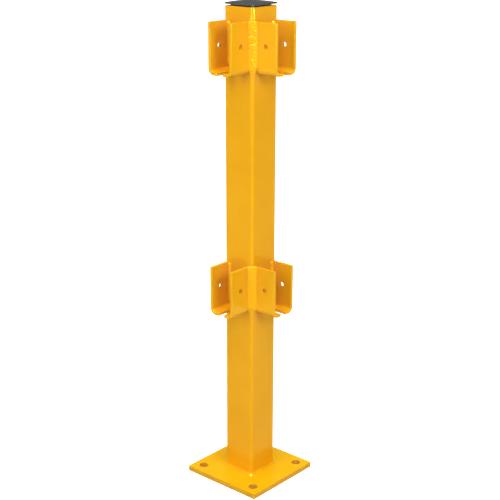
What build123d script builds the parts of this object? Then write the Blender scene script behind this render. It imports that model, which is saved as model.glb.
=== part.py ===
from build123d import *

import os
from math import cos, radians, sin

# Corner post of a guard rail: a square tube on a bolt-down base plate. At two levels it
# carries an open-topped rail socket on each of two adjacent faces, and each socket is a
# pair of bent ears welded to the tube.
#
# Units are millimetres and +Z is up. The origin is the centre of the base plate's
# underside. The sockets are on the front (-Y) and right (+X) faces.

os.makedirs("parts", exist_ok=True)

# ---- Post tube ----
RIM_HEIGHT = 1066.8          # plate underside to tube rim, a 42 in guard-rail height
POST_WIDTH = 79.3            # across the flats
POST_CORNER_R = 6.5
POST_WALL = 4.8
RIM_EDGE_R = 1.2             # dressed edge of the sawn rim

# ---- Base plate ----
PLATE_SIDE = 203.2           # 8 in square
PLATE_THICK = 12.0
PLATE_CORNER_R = 1.5
PLATE_EDGE_R = 0.8
PLATE_HOLE_D = 20.6          # clears a 3/4 in anchor
PLATE_HOLE_PITCH = 152.4     # 6 in, both ways

# ---- Rail sockets ----
SOCKET_TOPS = {"upper": 1039.0, "lower": 515.3}
SOCKET_WIDTH = 51.8          # clear width, for a 2 in rail
EAR_THICK = 6.35             # 1/4 in plate
EAR_REACH = 56.35            # post face to the ear's outer end
EAR_HEIGHT = 108.5
EAR_BEND_R = 14.5            # outside radius of the bottom bend
EAR_EDGE_R = 0.9
LIP_GAP = 15.0               # between the two lips of one socket
BOLT_HOLE_D = 10.7
BOLT_HOLE_DROP = 49.1        # below the ear's top edge
BOLT_HOLE_OUT = 28.7         # out from the post face

# ---- Welds ----
CORNER_WELD_LEG = 6.4        # along each ear's outer face, at the shared corner
CORNER_WELD_CROWN = 0.5      # bulge of the bead beyond its flat chord
OUTER_WELD_LEG = 4.2         # along each lone ear's outer face
OUTER_WELD_RISE = 2.4        # bead's end above the ears' top edge
OUTER_WELD_WRAP = 50.0       # degrees of the tube's rounded corner that a lone ear's bead covers
INNER_WELD_LEG = 4.6
INNER_WELD_END = 2.0         # left unwelded at the ear's top edge
BASE_WELD_LEG = 4.5
WELD_TOE = 0.3               # least thickness of a bead's toe

# ---- Push-in end cap ----
CAP_WIDTH = 78.6
CAP_CORNER_R = 2.5
CAP_EDGE = 3.0               # flange thickness at its corners
CAP_CROWN = 1.0              # extra height at the middle of the domed top
CAP_LIFT = 3.4               # mean height of the flange above the rim
CAP_TILT = 0.8               # degrees, front right corner down
CAP_CORNER_AZIMUTH = 45.0    # direction of the axis the flange leans about
PLUG_WIDTH = 60.0
PLUG_WALL = 2.6
PLUG_DEPTH = 24.0            # into the tube
FIN_THICK = 1.6
FIN_DROPS = (5.0, 12.0, 19.0)

HALF_POST = POST_WIDTH / 2
BORE_WIDTH = POST_WIDTH - 2 * POST_WALL
BORE_CORNER_R = POST_CORNER_R - POST_WALL
EAR_INNER = SOCKET_WIDTH / 2
EAR_OUTER = EAR_INNER + EAR_THICK
LIP_END = LIP_GAP / 2

# Turn about Z that takes a socket built on the front face to each face that has one.
SIDES = {"front": 0, "right": 90}
HANDS = ("right", "left")

# The ear of each socket that stands away from the corner both sockets share.
LONE_EARS = {"front": "left", "right": "right"}


def rounded_prism(width, radius, low, high):
    """Upright prism of rounded square section between two heights."""
    section = Plane.XY.offset(low) * RectangleRounded(width, width, radius)
    return extrude(section, amount=high - low)


def make_base_plate():
    plate = rounded_prism(PLATE_SIDE, PLATE_CORNER_R, 0, PLATE_THICK)
    rim = plate.edges().group_by(Axis.Z)[-1]
    plate = fillet(rim, PLATE_EDGE_R)
    holes = GridLocations(PLATE_HOLE_PITCH, PLATE_HOLE_PITCH, 2, 2)
    drill = Cylinder(PLATE_HOLE_D / 2, 2 * PLATE_THICK)
    for place in holes:
        plate -= Pos(0, 0, PLATE_THICK / 2) * place * drill
    return plate


def make_post_tube():
    outer = rounded_prism(POST_WIDTH, POST_CORNER_R, PLATE_THICK, RIM_HEIGHT)
    outer = fillet(outer.edges().group_by(Axis.Z)[-1], RIM_EDGE_R)
    bore = rounded_prism(BORE_WIDTH, BORE_CORNER_R, PLATE_THICK, RIM_HEIGHT)
    return outer - bore


def make_base_weld():
    """Fillet bead running round the foot of the tube."""
    low, high = PLATE_THICK, PLATE_THICK + BASE_WELD_LEG
    foot_width = POST_WIDTH + 2 * BASE_WELD_LEG
    foot = Plane.XY.offset(low) * RectangleRounded(
        foot_width, foot_width, POST_CORNER_R + BASE_WELD_LEG
    )
    head_width = POST_WIDTH + 2 * WELD_TOE
    head = Plane.XY.offset(high) * RectangleRounded(
        head_width, head_width, POST_CORNER_R + WELD_TOE
    )
    bead = loft([foot, head])
    return bead - rounded_prism(POST_WIDTH, POST_CORNER_R, low - 1, high + 1)


def make_ear(top):
    """Right-hand ear of the front socket: an upright wall bent into a bottom lip."""
    bottom = top - EAR_HEIGHT
    outline = Polyline(
        (EAR_OUTER, top),
        (EAR_OUTER, bottom),
        (LIP_END, bottom),
        (LIP_END, bottom + EAR_THICK),
        (EAR_INNER, bottom + EAR_THICK),
        (EAR_INNER, top),
        close=True,
    )
    section = make_face(outline)
    outer_bend = section.vertices().sort_by_distance((EAR_OUTER, bottom))[0]
    section = fillet(outer_bend, EAR_BEND_R)
    inner_bend = section.vertices().sort_by_distance((EAR_INNER, bottom + EAR_THICK))[0]
    section = fillet(inner_bend, EAR_BEND_R - EAR_THICK)
    ear = extrude(Plane.XZ.offset(HALF_POST) * section, amount=EAR_REACH)
    free_edges = ear.edges().filter_by(lambda e: e.bounding_box().min.Y < -HALF_POST - 1)
    long_edges = free_edges.filter_by(Axis.Y)
    flat_corners = long_edges.filter_by(lambda e: e.center().Z > top - 1)
    lip_corners = long_edges.filter_by(lambda e: e.center().X < LIP_END + 1)
    outer_end = ear.edges().group_by(Axis.Y)[0]
    ear = fillet(outer_end + flat_corners + lip_corners, EAR_EDGE_R)
    drill = Rot(0, 90, 0) * Cylinder(BOLT_HOLE_D / 2, 4 * EAR_THICK)
    hole_y = -(HALF_POST + BOLT_HOLE_OUT)
    return ear - Pos(EAR_INNER + EAR_THICK / 2, hole_y, top - BOLT_HOLE_DROP) * drill


def make_corner_weld(top):
    """Wide bead closing the shared corner, from one socket's ear to the next."""
    low = top - EAR_HEIGHT + EAR_BEND_R
    high = top + OUTER_WELD_RISE
    far = HALF_POST + CORNER_WELD_LEG
    crown = (far + EAR_OUTER) / 2 + CORNER_WELD_CROWN
    face = ThreePointArc((EAR_OUTER, -far), (crown, -crown), (far, -EAR_OUTER))
    back = Polyline((far, -EAR_OUTER), (EAR_OUTER, -EAR_OUTER), (EAR_OUTER, -far))
    section = Plane.XY.offset(low) * make_face(face + back)
    bead = extrude(section, amount=high - low)
    return bead - rounded_prism(POST_WIDTH, POST_CORNER_R, low - 1, high + 1)


def make_outer_weld(top):
    """Bead between a right-hand ear's outer face and the tube's rounded corner."""
    low = top - EAR_HEIGHT + EAR_BEND_R
    high = top + OUTER_WELD_RISE
    corner_centre = HALF_POST - POST_CORNER_R
    wrap = radians(OUTER_WELD_WRAP)
    outline = Polyline(
        (EAR_OUTER, -HALF_POST - OUTER_WELD_LEG),
        (corner_centre + POST_CORNER_R * sin(wrap), -corner_centre - POST_CORNER_R * cos(wrap)),
        (EAR_OUTER, -corner_centre),
        close=True,
    )
    bead = extrude(Plane.XY.offset(low) * make_face(outline), amount=high - low)
    return bead - rounded_prism(POST_WIDTH, POST_CORNER_R, low - 1, high + 1)


def make_inner_weld(top):
    """Bead inside the front socket, between its right ear and the post face."""
    low = top - EAR_HEIGHT + EAR_BEND_R
    high = top - INNER_WELD_END
    outline = Polyline(
        (EAR_INNER, -HALF_POST),
        (EAR_INNER - INNER_WELD_LEG, -HALF_POST),
        (EAR_INNER - INNER_WELD_LEG, -HALF_POST - WELD_TOE),
        (EAR_INNER - WELD_TOE, -HALF_POST - INNER_WELD_LEG),
        (EAR_INNER, -HALF_POST - INNER_WELD_LEG),
        close=True,
    )
    return extrude(Plane.XY.offset(low) * make_face(outline), amount=high - low)


def make_end_cap():
    """Moulded cap: a domed flange over a hollow plug with flexible gripping fins."""
    plate_height = CAP_EDGE + CAP_CROWN
    half_diagonal_sq = 2 * (CAP_WIDTH / 2) ** 2
    dome_r = (half_diagonal_sq + CAP_CROWN**2) / (2 * CAP_CROWN)
    flange = rounded_prism(CAP_WIDTH, CAP_CORNER_R, 0, plate_height)
    flange &= Pos(0, 0, plate_height - dome_r) * Sphere(dome_r)
    lean = Axis((0, 0, 0), Vector(1, 0, 0).rotate(Axis.Z, CAP_CORNER_AZIMUTH))
    flange = Pos(0, 0, RIM_HEIGHT + CAP_LIFT) * flange.rotate(lean, CAP_TILT)
    plug_low = RIM_HEIGHT - PLUG_DEPTH
    plug_high = RIM_HEIGHT + CAP_LIFT + CAP_EDGE / 2
    plug = rounded_prism(PLUG_WIDTH, BORE_CORNER_R, plug_low, plug_high)
    for drop in FIN_DROPS:
        fin_low = RIM_HEIGHT - drop - FIN_THICK
        plug += rounded_prism(BORE_WIDTH, BORE_CORNER_R, fin_low, fin_low + FIN_THICK)
    hollow_width = PLUG_WIDTH - 2 * PLUG_WALL
    plug -= rounded_prism(hollow_width, BORE_CORNER_R, plug_low - 1, RIM_HEIGHT)
    return flange + plug


def save(shape, node):
    export_step(shape, f"parts/{node}.step")


save(make_base_plate(), "base_plate")
save(make_post_tube(), "post_tube")
save(make_base_weld(), "base_weld")
save(make_end_cap(), "end_cap")

for level, top in SOCKET_TOPS.items():
    makers = {"ear": make_ear, "inner_weld": make_inner_weld, "outer_weld": make_outer_weld}
    right_hand = {piece: make(top) for piece, make in makers.items()}
    left_hand = {piece: shape.mirror(Plane.YZ) for piece, shape in right_hand.items()}
    pieces = {"right": right_hand, "left": left_hand}
    for side, turn in SIDES.items():
        for hand in HANDS:
            for piece, shape in pieces[hand].items():
                if piece == "outer_weld" and LONE_EARS[side] != hand:
                    continue
                save(shape.rotate(Axis.Z, turn), f"{level}_{side}_{piece}_{hand}")
    save(make_corner_weld(top), f"{level}_corner_weld")
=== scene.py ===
import math

import bpy
from mathutils import Matrix, Vector, noise


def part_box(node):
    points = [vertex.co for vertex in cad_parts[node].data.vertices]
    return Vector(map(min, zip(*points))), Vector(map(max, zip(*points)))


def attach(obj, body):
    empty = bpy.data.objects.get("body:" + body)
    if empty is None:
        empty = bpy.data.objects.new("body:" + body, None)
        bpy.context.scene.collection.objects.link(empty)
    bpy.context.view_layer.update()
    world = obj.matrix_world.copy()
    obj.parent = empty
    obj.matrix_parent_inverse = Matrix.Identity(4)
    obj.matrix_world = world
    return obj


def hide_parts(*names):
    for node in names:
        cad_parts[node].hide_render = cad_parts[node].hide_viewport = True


# Guard-rail corner post. The CAD tube, plate, ears and cap keep their meshes and get
# materials; the plain weld solids are replaced with rippled beads. Lengths are in metres,
# the front face is -Y, the right face is +X, and azimuth 0 is in front and 90 at the right.

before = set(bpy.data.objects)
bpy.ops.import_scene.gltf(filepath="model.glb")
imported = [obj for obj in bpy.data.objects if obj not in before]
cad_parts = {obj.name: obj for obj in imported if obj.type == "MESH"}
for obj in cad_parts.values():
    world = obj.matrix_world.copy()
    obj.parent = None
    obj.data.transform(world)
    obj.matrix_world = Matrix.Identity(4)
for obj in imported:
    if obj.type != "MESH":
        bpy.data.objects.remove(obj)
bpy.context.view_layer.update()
scene = bpy.context.scene
MM = 0.001

# ---------------------------------------------------------------- the object's own sizes
HALF_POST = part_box("post_tube")[1].x
POST_R = 6.5 * MM
PLATE_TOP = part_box("base_plate")[1].z
EAR_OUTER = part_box("upper_front_ear_right")[1].x
EAR_THICK = 6.35 * MM
EAR_INNER = EAR_OUTER - EAR_THICK
LEVELS = {                              # top and bottom of the ears at each level
    level: (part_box(level + "_front_ear_right")[1].z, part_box(level + "_front_ear_right")[0].z)
    for level in ("upper", "lower")
}
SIDES = {"front": 0, "right": 90}       # each socket's side and its turn about Z, in degrees
LONE_EARS = {"front": "left", "right": "right"}

# ---------------------------------------------------------------- weld beads' sizes
CORNER_LEG = 6.4 * MM
OUTER_LEG = 4.2 * MM
OUTER_WRAP = math.radians(50)           # of the tube's rounded corner
INNER_LEG = 4.6 * MM
BASE_LEG = 4.5 * MM
SUNK = 0.2 * MM                         # how deep a bead's toes lie in the steel
TOP_RISE = 2.6 * MM                     # above the ears' top edge
BEAD_COLS = 18                          # points round one straight bead
BASE_COLS = 14                          # points round the base bead
LEG_UNEVEN = 0.13                       # share by which a straight bead's legs wander
BASE_LEG_UNEVEN = 0.14
WRAP_UNEVEN = 0.12
BEAD_LOOKS = {"upper": (1.0, 50), "lower": (0.35, 20)}      # roughness and first seed

# ---------------------------------------------------------------- finishes
YELLOW = (0.83, 0.425, 0.009)
YELLOW_TUBE = (0.83, 0.398, 0.008)
YELLOW_PLATE = (0.79, 0.42, 0.004)
YELLOW_EAR = (0.81, 0.42, 0.012)
# Painted shade: the coat is mixed towards this brown where ambient occlusion finds surfaces
# enclosed, and more in bolt holes.
PAINTED_SHADE_BROWN = (0.43, 0.145, 0.08, 1.0)
PAINTED_SHADE_REACH = 0.055                    # how far away a surface still shades another
PAINTED_SHADE_AIR = (0.3, 0.85)                # ambient occlusion at full painted shade and at none
HOLE_SHADE_AIR = (0.12, 0.32)                 # the same for the deeper painted shade in a bolt hole
HOLE_SHADE_BROWN = 0.5
UPRIGHT = (0.1, 0.6)                    # normal's upward part where the painted shade fades, and is gone
GLOSS = (0.12, 0.20)                    # least and most roughness
GLOSS_ROUGH_BEAD = (0.06, 0.10)
COAT_METALLIC = 0.1
COAT_SPECULAR = 0.08
COAT_TINT = (1.0, 0.9, 0.6, 1.0)
PAINT_IOR = 1.5
PLASTIC_DARK = (0.012, 0.012, 0.013, 1.0)
PLASTIC_PALE = (0.026, 0.026, 0.027, 1.0)
PAPER_BOUNCE = (0.45, 0.45, 0.45, 1.0)  # the paper as it lights the object's matte colour
PAPER_DARK = (0.88, 0.88, 0.88, 1.0)
PAPER_PALE = (0.90, 0.90, 0.90, 1.0)

# ---------------------------------------------------------------- light
PAPER_GLOW = 0.24                       # of the floor, in reflections
PAPER_GLOW_SEEN = 0.9                   # of the floor, to the eye
WORLD_DIFFUSE = 0.02
WORLD_GLOSSY = 0.25
WORLD_SEEN = 1.0
SUN_STRENGTH = 2.75
SUN_ANGLE = 60
SUN_TURN = (4, 0, 30)
FLOOR_REACH = 40.0

# Azimuth, distance, height, height it aims at, width, tallness, power in watts. A glint is
# a small light that shows only in gloss, and the back light shows only in matte colour. The
# camera sees none of them.
SOFT_BOXES = {
    "left": (-6, 2.2, 1.85, 1.85, 0.3, 2.2, 17),
    "right": (98, 2.2, 1.85, 1.85, 0.3, 2.2, 3),
    "left_main": (6, 2.1, 1.6, 1.0, 0.7, 0.7, 3),
    "right_main": (74, 2.1, 1.6, 1.0, 0.7, 0.7, 22),
    "front_high": (41, 2.6, 2.9, 0.6, 1.8, 1.2, 32),
    "left_broad": (-2, 3.0, 2.2, 2.2, 1.6, 2.0, 8),
    "back": (221, 2.8, 2.0, 0.6, 2.0, 1.6, 30),
    "left_glint": (-6, 2.2, 0.88, 0.88, 0.08, 0.2, 46),
    "right_glint": (98, 2.2, 0.88, 0.88, 0.08, 0.2, 32),
    "bead_glint": (30, 2.6, 2.3, 1.0, 0.1, 0.1, 250),
}

# ---------------------------------------------------------------- camera
CAMERA_AZIMUTH = math.radians(41.271)
CAMERA_ELEVATION = math.radians(17.638)
CAMERA_ROLL = math.radians(0.128)
CAMERA_DISTANCE = 2.49323
CAMERA_LENS = 81.498
AIM_HEIGHT = 0.53720
AIM_LEFT = 0.00095


# ---------------------------------------------------------------- node helpers
class Nodes:
    """Short hand for building one material's node tree."""

    def __init__(self, name):
        self.mat = bpy.data.materials.new(name)
        self.mat.use_nodes = True
        self.tree = self.mat.node_tree
        self.bsdf = self.tree.nodes["Principled BSDF"]
        self.where = self.tree.nodes.new("ShaderNodeTexCoord").outputs["Object"]

    def new(self, kind, **values):
        node = self.tree.nodes.new(kind)
        for key, value in values.items():
            setattr(node, key, value)
        return node

    def put(self, socket, value):
        if isinstance(value, bpy.types.NodeSocket):
            self.tree.links.new(value, socket)
        else:
            socket.default_value = value

    def set(self, name, value):
        self.put(self.bsdf.inputs[name], value)

    def noise(self, scale, detail=3.0, rough=0.5, distortion=0.0):
        node = self.new("ShaderNodeTexNoise")
        self.put(node.inputs["Vector"], self.where)
        self.put(node.inputs["Scale"], scale)
        self.put(node.inputs["Detail"], detail)
        self.put(node.inputs["Roughness"], rough)
        self.put(node.inputs["Distortion"], distortion)
        return node.outputs["Fac"]

    def cells(self, scale, smoothness=0.7):
        node = self.new("ShaderNodeTexVoronoi", feature="SMOOTH_F1")
        self.put(node.inputs["Vector"], self.where)
        self.put(node.inputs["Scale"], scale)
        self.put(node.inputs["Smoothness"], smoothness)
        return node.outputs["Distance"]

    def fit(self, value, low, high, at_low, at_high):
        node = self.new("ShaderNodeMapRange", interpolation_type="LINEAR")
        for socket, number in zip(node.inputs, (value, low, high, at_low, at_high)):
            self.put(socket, number)
        return node.outputs["Result"]

    def math(self, kind, a, b):
        node = self.new("ShaderNodeMath", operation=kind)
        self.put(node.inputs[0], a)
        self.put(node.inputs[1], b)
        return node.outputs[0]

    def mix(self, share, a, b):
        node = self.new("ShaderNodeMix", data_type="RGBA")
        self.put(node.inputs[0], share)
        self.put(node.inputs[6], a)
        self.put(node.inputs[7], b)
        return node.outputs[2]

    def split(self, vector):
        node = self.new("ShaderNodeSeparateXYZ")
        self.put(node.inputs[0], vector)
        return node.outputs

    def bump(self, height, distance, strength=1.0, normal=None):
        node = self.new("ShaderNodeBump")
        self.put(node.inputs["Strength"], strength)
        self.put(node.inputs["Distance"], distance)
        self.put(node.inputs["Height"], height)
        if normal is not None:
            self.put(node.inputs["Normal"], normal)
        return node.outputs["Normal"]


# ---------------------------------------------------------------- materials
def shade(colour, change, blue_change):
    """The colour with red and green changed by one amount and blue by another."""
    red, green, blue = colour
    return (red + change, green + change, blue + blue_change, 1.0)


def painted_shade_share(n, strength, rise):
    """Share of painted shade in the coat: upright surfaces that ambient occlusion finds enclosed,
    and bolt holes.

    Rise is a low height, a high height and the share that is left below the low one.
    """
    air = n.new("ShaderNodeAmbientOcclusion", samples=6)
    n.put(air.inputs["Distance"], PAINTED_SHADE_REACH)
    closed = n.fit(air.outputs["AO"], *PAINTED_SHADE_AIR, strength, 0.0)
    hole = n.fit(air.outputs["AO"], *HOLE_SHADE_AIR, HOLE_SHADE_BROWN, 0.0)
    up = n.split(n.new("ShaderNodeNewGeometry").outputs["Normal"])["Z"]
    share = n.math("MULTIPLY", n.math("ADD", closed, hole), n.fit(up, *UPRIGHT, 1.0, 0.0))
    low, high, least = rise
    return n.math("MULTIPLY", share, n.fit(n.split(n.where)["Z"], low, high, least, 1.0))


def powder_coat(
    name, colour, peel=1.0, gloss=GLOSS, painted_shade=0.0, rise=(-1.0, -0.9, 1.0), grains=0.0
):
    """Gloss powder coat: orange peel, slow waves in the film, cloudy colour and faint haze.

    Peel scales the film's own unevenness. Painted_shade is how far the coat is browned as painted
    shade where ambient occlusion finds it enclosed. Grains is the height of the lumps of spatter
    under the coat.
    """
    n = Nodes(name)
    cloud = n.noise(9.0, 4.0, 0.55)
    fine = n.noise(160.0, 3.0, 0.6)
    deep, thin = shade(colour, -0.02, -0.002), shade(colour, 0.02, 0.002)
    tone = n.mix(n.fit(cloud, 0.3, 0.7, 0.0, 1.0), deep, thin)
    tone = n.mix(n.fit(fine, 0.35, 0.75, 0.0, 0.16), tone, shade(colour, -0.03, -0.002))
    # Painted shade: brown mixed into the coat where ambient occlusion finds it enclosed.
    if painted_shade:
        tone = n.mix(painted_shade_share(n, painted_shade, rise), tone, PAINTED_SHADE_BROWN)
    n.set("Base Color", tone)
    haze = n.noise(38.0, 5.0, 0.6, 0.4)
    n.set("Roughness", n.fit(haze, 0.3, 0.75, *gloss))
    n.set("Metallic", COAT_METALLIC)
    n.set("IOR", PAINT_IOR)
    n.set("Specular IOR Level", COAT_SPECULAR)
    n.set("Specular Tint", COAT_TINT)
    wave = n.bump(n.noise(55.0, 2.0, 0.4), 0.12 * MM, 0.6 * peel)
    normal = n.bump(n.cells(380.0), 0.03 * MM, 0.8 * peel, wave)
    if grains:
        normal = n.bump(n.noise(290.0, 0.0), grains, 1.0, normal)
    n.set("Normal", n.bump(n.noise(1500.0, 2.0, 0.5), 0.01 * MM, 0.4 * peel, normal))
    return n.mat


def cap_plastic():
    """Moulded polyethylene: near black, satin, fine spark-eroded grain and faint flow marks."""
    n = Nodes("cap_plastic")
    cloud = n.noise(60.0, 4.0, 0.6)
    n.set("Base Color", n.mix(n.fit(cloud, 0.3, 0.7, 0.0, 1.0), PLASTIC_DARK, PLASTIC_PALE))
    n.set("Roughness", n.fit(n.noise(90.0, 4.0, 0.6), 0.3, 0.7, 0.30, 0.42))
    n.set("IOR", PAINT_IOR)
    n.set("Specular IOR Level", 0.6)
    grain = n.bump(n.noise(2200.0, 3.0, 0.6), 0.03 * MM, 0.6)
    n.set("Normal", n.bump(n.noise(25.0, 2.0, 0.5), 0.4 * MM, 0.4, grain))
    return n.mat


def floor_paper():
    """White paper, lit from behind. It throws less light on the object than it shows."""
    n = Nodes("floor_paper")
    path = n.new("ShaderNodeLightPath").outputs
    bounced = path["Is Diffuse Ray"]
    shown = n.mix(n.noise(3.0, 3.0), PAPER_DARK, PAPER_PALE)
    n.set("Base Color", n.mix(bounced, shown, PAPER_BOUNCE))
    n.set("Roughness", n.fit(n.noise(40.0, 3.0), 0.3, 0.7, 0.85, 0.95))
    n.set("Specular IOR Level", 0.1)
    n.set("Emission Color", (1.0, 1.0, 1.0, 1.0))
    glow = n.fit(bounced, 0.0, 1.0, PAPER_GLOW, 0.0)
    n.set("Emission Strength", n.fit(path["Is Camera Ray"], 0.0, 1.0, glow, PAPER_GLOW_SEEN))
    return n.mat


# Painted shade goes on the tube, plate and ears. It is left off the tube's foot below 0.2 m, and
# near the bottom of each socket the ears get a fifth of it, rising to full 70 mm up.
COAT = powder_coat("powder_coat", YELLOW)
COAT_POST = powder_coat("powder_coat_post", YELLOW_TUBE, painted_shade=0.7, rise=(0.2, 0.3, 0.0))
COAT_PLATE = powder_coat("powder_coat_plate", YELLOW_PLATE, painted_shade=0.35)
COAT_EAR = {
    level: powder_coat(
        "powder_coat_ear_" + level, YELLOW_EAR, painted_shade=0.52,
        rise=(bottom + 5 * MM, bottom + 70 * MM, 0.2),
    )
    for level, (top, bottom) in LEVELS.items()
}
COAT_ROUGH_BEAD = powder_coat(
    "powder_coat_rough_bead", YELLOW, peel=0.3, gloss=GLOSS_ROUGH_BEAD, grains=1.3 * MM
)
FINISHES = {"end_cap": cap_plastic(), "post_tube": COAT_POST, "base_plate": COAT_PLATE}

for node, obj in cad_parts.items():
    level = node.split("_")[0]
    obj.data.materials.clear()
    obj.data.materials.append(FINISHES.get(node, COAT_EAR[level] if "_ear_" in node else COAT))


# ---------------------------------------------------------------- weld beads
def make_piece(name, verts, faces, node, material):
    """A smooth shaded piece that stands in for one CAD node."""
    mesh = bpy.data.meshes.new(name)
    mesh.from_pydata(verts, [], faces)
    mesh.validate()
    mesh.update()
    for polygon in mesh.polygons:
        polygon.use_smooth = True
    obj = bpy.data.objects.new(name, mesh)
    scene.collection.objects.link(obj)
    mesh.materials.append(material)
    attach(obj, "root")
    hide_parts(node)


def grid_faces(rows, cols, loop=False):
    """Quads over rows of cols points each; every row is a closed ring of points."""
    faces = []
    last = rows if loop else rows - 1
    for i in range(last):
        a, b = i * cols, (i + 1) % rows * cols
        for j in range(cols):
            k = (j + 1) % cols
            faces.append((a + j, a + k, b + k, b + j))
    return faces


def ripple(along, across, pitch, seed):
    """Height 0..1 of a stacked-coin weld surface."""
    wander = noise.noise(Vector((along * 90, across * 1.5, seed))) * 0.9
    phase = along / pitch + 0.55 * across * across + wander
    saw = phase - math.floor(phase)
    return (1 - abs(2 * saw - 1)) ** 0.8


def wobble(along, seed):
    return noise.noise(Vector((along * 120, seed, 3.7)))


def uneven(leg, along, size, seed):
    return leg * size * (1 + LEG_UNEVEN * wobble(along, seed))


def bead_rows(stations, a_of, b_of, deep_of, crown, pitch, amp, lump, seed):
    """One closed ring per station: a crowned rippled face from a to b, then a hidden point."""
    verts = []
    for along, size in stations:
        a, b, deep = a_of(along, size), b_of(along, size), deep_of(along)
        out = ((a + b) / 2 - deep).normalized()
        for j in range(BEAD_COLS - 1):
            s = j / (BEAD_COLS - 2)
            across = 2 * s - 1
            arch = 1 - across * across
            rise = crown * arch * size
            rise += amp * (arch ** 0.5) * size * (ripple(along, across, pitch, seed) - 0.5)
            spot = Vector((along * 260, across * 1.5, seed * 3.1))
            rise += lump * (arch ** 0.5) * size * noise.noise(spot)
            verts.append(a.lerp(b, s) + out * rise)
        verts.append(deep)
    return verts


def turned(points, degrees):
    spin = Matrix.Rotation(math.radians(degrees), 4, "Z")
    return [spin @ p for p in points]


def end_sizes(low, high, step, taper_low, taper_high):
    """Stations along a straight bead with how full it is at each, rounded off at both ends."""
    count = max(2, round((high - low) / step))
    stations = []
    for i in range(count + 1):
        along = low + (high - low) * i / count
        grow = min(1.0, (along - low) / taper_low)
        fall = min(1.0, (high - along) / taper_high)
        size = math.sin(grow * math.pi / 2) * math.sqrt(max(0.0, 1 - (1 - fall) ** 2))
        stations.append((along, max(size, 0.02)))
    return stations


def straight_bead(name, node, turn, stations, a_of, b_of, deep_of, material, **shape):
    verts = turned(bead_rows(stations, a_of, b_of, deep_of, **shape), turn)
    faces = grid_faces(len(stations), BEAD_COLS)
    faces.append(tuple(range(BEAD_COLS))[::-1])
    last = (len(stations) - 1) * BEAD_COLS
    faces.append(tuple(range(last, last + BEAD_COLS)))
    make_piece(name, verts, faces, node, material)


def corner_bead(level, top, bottom, rough, seed):
    """The wide bead between the two ears that share the corner."""

    def side_a(z, size):
        return Vector((EAR_OUTER - SUNK, -HALF_POST - uneven(CORNER_LEG, z, size, seed), z))

    def side_b(z, size):
        return Vector((HALF_POST + uneven(CORNER_LEG, z, size, seed + 9), -EAR_OUTER + SUNK, z))

    def deep(z):
        return Vector((HALF_POST - 3.4 * MM, -HALF_POST + 3.4 * MM, z))

    straight_bead(
        level + "_corner_bead", level + "_corner_weld", 0,
        end_sizes(
            bottom + 1 * MM, top + TOP_RISE, step=0.7 * MM, taper_low=16 * MM, taper_high=5 * MM
        ),
        side_a, side_b, deep, COAT_ROUGH_BEAD if level == "upper" else COAT,
        crown=0.9 * MM, pitch=4.2 * MM, amp=0.05 * MM * rough, lump=0.7 * MM * rough, seed=seed,
    )


def outer_bead(level, side, hand, top, bottom, rough, seed):
    """The bead outside a lone ear, feathered onto the tube's rounded corner."""
    sign = 1 if hand == "right" else -1
    centre = HALF_POST - POST_R

    def side_a(z, size):
        return Vector((sign * (EAR_OUTER - SUNK), -HALF_POST - uneven(OUTER_LEG, z, size, seed), z))

    def side_b(z, size):
        angle = OUTER_WRAP * size * (1 + WRAP_UNEVEN * wobble(z, seed + 9))
        reach = POST_R - 0.15 * MM
        x = sign * (centre + reach * math.sin(angle))
        return Vector((x, -centre - reach * math.cos(angle), z))

    def deep(z):
        return Vector((sign * (EAR_OUTER - 0.5 * MM), -HALF_POST + 3 * MM, z))

    straight_bead(
        f"{level}_{side}_outer_bead_{hand}", f"{level}_{side}_outer_weld_{hand}", SIDES[side],
        end_sizes(
            bottom + 4 * MM, top + TOP_RISE, step=0.7 * MM, taper_low=12 * MM, taper_high=5 * MM
        ),
        side_a, side_b, deep, COAT,
        crown=0.6 * MM, pitch=4.4 * MM, amp=0.25 * MM * rough, lump=0.4 * MM * rough, seed=seed,
    )


def inner_bead(level, side, hand, top, bottom, seed):
    """The bead inside a socket, between an ear and the post face."""
    sign = 1 if hand == "right" else -1

    def side_a(z, size):
        return Vector((sign * (EAR_INNER + SUNK), -HALF_POST - uneven(INNER_LEG, z, size, seed), z))

    def side_b(z, size):
        inset = uneven(INNER_LEG, z, size, seed + 9)
        return Vector((sign * (EAR_INNER - inset), -HALF_POST + SUNK, z))

    def deep(z):
        return Vector((sign * (EAR_INNER + 1.5 * MM), -HALF_POST + 1.5 * MM, z))

    straight_bead(
        f"{level}_{side}_inner_bead_{hand}", f"{level}_{side}_inner_weld_{hand}", SIDES[side],
        end_sizes(
            bottom + 15 * MM, top - 1.5 * MM, step=0.9 * MM, taper_low=5 * MM, taper_high=4 * MM
        ),
        side_a, side_b, deep, COAT,
        crown=0.5 * MM, pitch=4.6 * MM, amp=0.4 * MM, lump=0.4 * MM, seed=seed,
    )


def foot_path():
    """Points round the foot of the tube, each with its outward direction."""
    flat = HALF_POST - POST_R
    flat_steps, corner_steps = 60, 12
    side = []
    for i in range(flat_steps):
        x = -flat + 2 * flat * i / flat_steps
        side.append((Vector((x, -HALF_POST, 0)), Vector((0, -1, 0))))
    for i in range(corner_steps):
        angle = math.radians(90 * i / corner_steps)
        out = Vector((math.sin(angle), -math.cos(angle), 0))
        side.append((Vector((flat, -flat, 0)) + out * POST_R, out))
    path = []
    for turn in (0, 90, 180, 270):
        spin = Matrix.Rotation(math.radians(turn), 4, "Z")
        path += [(spin @ p, spin @ o) for p, o in side]
    return path


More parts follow.
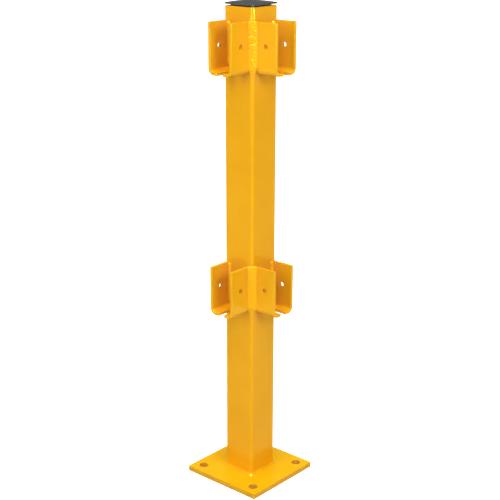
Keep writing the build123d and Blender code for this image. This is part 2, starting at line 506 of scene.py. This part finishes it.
def base_bead():
    """Bead round the foot of the tube, following its rounded square."""
    crown, amp, lump, pitch, seed = 0.5 * MM, 0.45 * MM, 0.5 * MM, 4.4 * MM, 5.0
    path = foot_path()
    verts, along = [], 0.0
    for i, (p, out) in enumerate(path):
        along += (p - path[i - 1][0]).length if i else 0.0
        foot = BASE_LEG * (1 + BASE_LEG_UNEVEN * wobble(along, 31.0))
        head = BASE_LEG * (1 + BASE_LEG_UNEVEN * wobble(along, 47.0))
        a = p + out * foot + Vector((0, 0, PLATE_TOP - SUNK))
        b = p - out * SUNK + Vector((0, 0, PLATE_TOP + head))
        away = (out + Vector((0, 0, 1))).normalized()
        for j in range(BASE_COLS - 1):
            s = j / (BASE_COLS - 2)
            across = 2 * s - 1
            arch = 1 - across * across
            rise = crown * arch
            rise += amp * arch ** 0.5 * (ripple(along, across, pitch, seed) - 0.5)
            rise += lump * arch ** 0.5 * noise.noise(Vector((along * 260, across * 2, 8.8)))
            verts.append(a.lerp(b, s) + away * rise)
        verts.append(p - out * 2.5 * MM + Vector((0, 0, PLATE_TOP - 2 * MM)))
    make_piece("base_bead", verts, grid_faces(len(path), BASE_COLS, loop=True), "base_weld", COAT)


for level, (top, bottom) in LEVELS.items():
    rough, base_seed = BEAD_LOOKS[level]
    corner_bead(level, top, bottom, rough, base_seed)
    for number, side in enumerate(SIDES):
        outer_bead(level, side, LONE_EARS[side], top, bottom, rough, base_seed + 7 * number + 3)
        for hand in ("right", "left"):
            inner_bead(level, side, hand, top, bottom, base_seed + 5 * number + len(hand))

base_bead()


# ---------------------------------------------------------------- studio
def soft_box(name, azimuth, distance, height, aim_height, width, tallness, power):
    light = bpy.data.lights.new(name, "AREA")
    light.shape = "RECTANGLE"
    light.size, light.size_y = width, tallness
    light.energy = power
    obj = bpy.data.objects.new(name, light)
    scene.collection.objects.link(obj)
    angle = math.radians(azimuth)
    obj.location = (math.sin(angle) * distance, -math.cos(angle) * distance, height)
    aim = Vector((0, 0, aim_height)) - Vector(obj.location)
    obj.rotation_euler = aim.to_track_quat("-Z", "Y").to_euler()
    obj.visible_camera = False
    obj.visible_diffuse = "glint" not in name
    obj.visible_glossy = name != "back"


def broad_sun():
    """A weak light from above, spread so wide that its shadows have no edge."""
    sun = bpy.data.lights.new("sun", "SUN")
    sun.energy = SUN_STRENGTH
    sun.angle = math.radians(SUN_ANGLE)
    obj = bpy.data.objects.new("sun", sun)
    scene.collection.objects.link(obj)
    obj.rotation_euler = tuple(math.radians(turn) for turn in SUN_TURN)


def pale_world():
    """A white room to the eye, dimmer in reflections and a faint source of diffuse light."""
    world = bpy.data.worlds.new("studio")
    scene.world = world
    world.use_nodes = True
    tree = world.node_tree
    background = tree.nodes["Background"]
    background.inputs["Color"].default_value = (1, 1, 1, 1)
    path = tree.nodes.new("ShaderNodeLightPath").outputs
    matte = tree.nodes.new("ShaderNodeMix")
    tree.links.new(path["Is Diffuse Ray"], matte.inputs[0])
    matte.inputs[2].default_value = WORLD_GLOSSY
    matte.inputs[3].default_value = WORLD_DIFFUSE
    seen = tree.nodes.new("ShaderNodeMix")
    tree.links.new(path["Is Camera Ray"], seen.inputs[0])
    tree.links.new(matte.outputs[0], seen.inputs[2])
    seen.inputs[3].default_value = WORLD_SEEN
    tree.links.new(seen.outputs[0], background.inputs["Strength"])


def lay_floor():
    mesh = bpy.data.meshes.new("floor")
    r = FLOOR_REACH
    mesh.from_pydata([(-r, -r, 0), (r, -r, 0), (r, r, 0), (-r, r, 0)], [], [(0, 1, 2, 3)])
    floor = bpy.data.objects.new("floor", mesh)
    scene.collection.objects.link(floor)
    mesh.materials.append(floor_paper())


def set_camera():
    """A camera at the given bearing, aimed a little to the left of the post's axis."""
    data = bpy.data.cameras.new("camera")
    camera = bpy.data.objects.new("camera", data)
    scene.collection.objects.link(camera)
    scene.camera = camera
    back = Vector((
        math.sin(CAMERA_AZIMUTH) * math.cos(CAMERA_ELEVATION),
        -math.cos(CAMERA_AZIMUTH) * math.cos(CAMERA_ELEVATION),
        math.sin(CAMERA_ELEVATION),
    ))
    right = Vector((math.cos(CAMERA_AZIMUTH), math.sin(CAMERA_AZIMUTH), 0))
    target = Vector((0, 0, AIM_HEIGHT)) - right * AIM_LEFT
    camera.location = target + back * CAMERA_DISTANCE
    up = back.cross(right)
    rolled_right = right * math.cos(CAMERA_ROLL) + up * math.sin(CAMERA_ROLL)
    rolled_up = up * math.cos(CAMERA_ROLL) - right * math.sin(CAMERA_ROLL)
    camera.rotation_mode = "QUATERNION"
    stance = Matrix((rolled_right, rolled_up, back)).transposed()
    camera.rotation_quaternion = stance.to_quaternion()
    data.sensor_width = 36.0
    data.lens = CAMERA_LENS
    data.clip_start, data.clip_end = 0.05, 100.0


for name, place in SOFT_BOXES.items():
    soft_box(name, *place)

broad_sun()
pale_world()
lay_floor()
set_camera()
scene.view_settings.view_transform = "Standard"
scene.view_settings.look = "None"
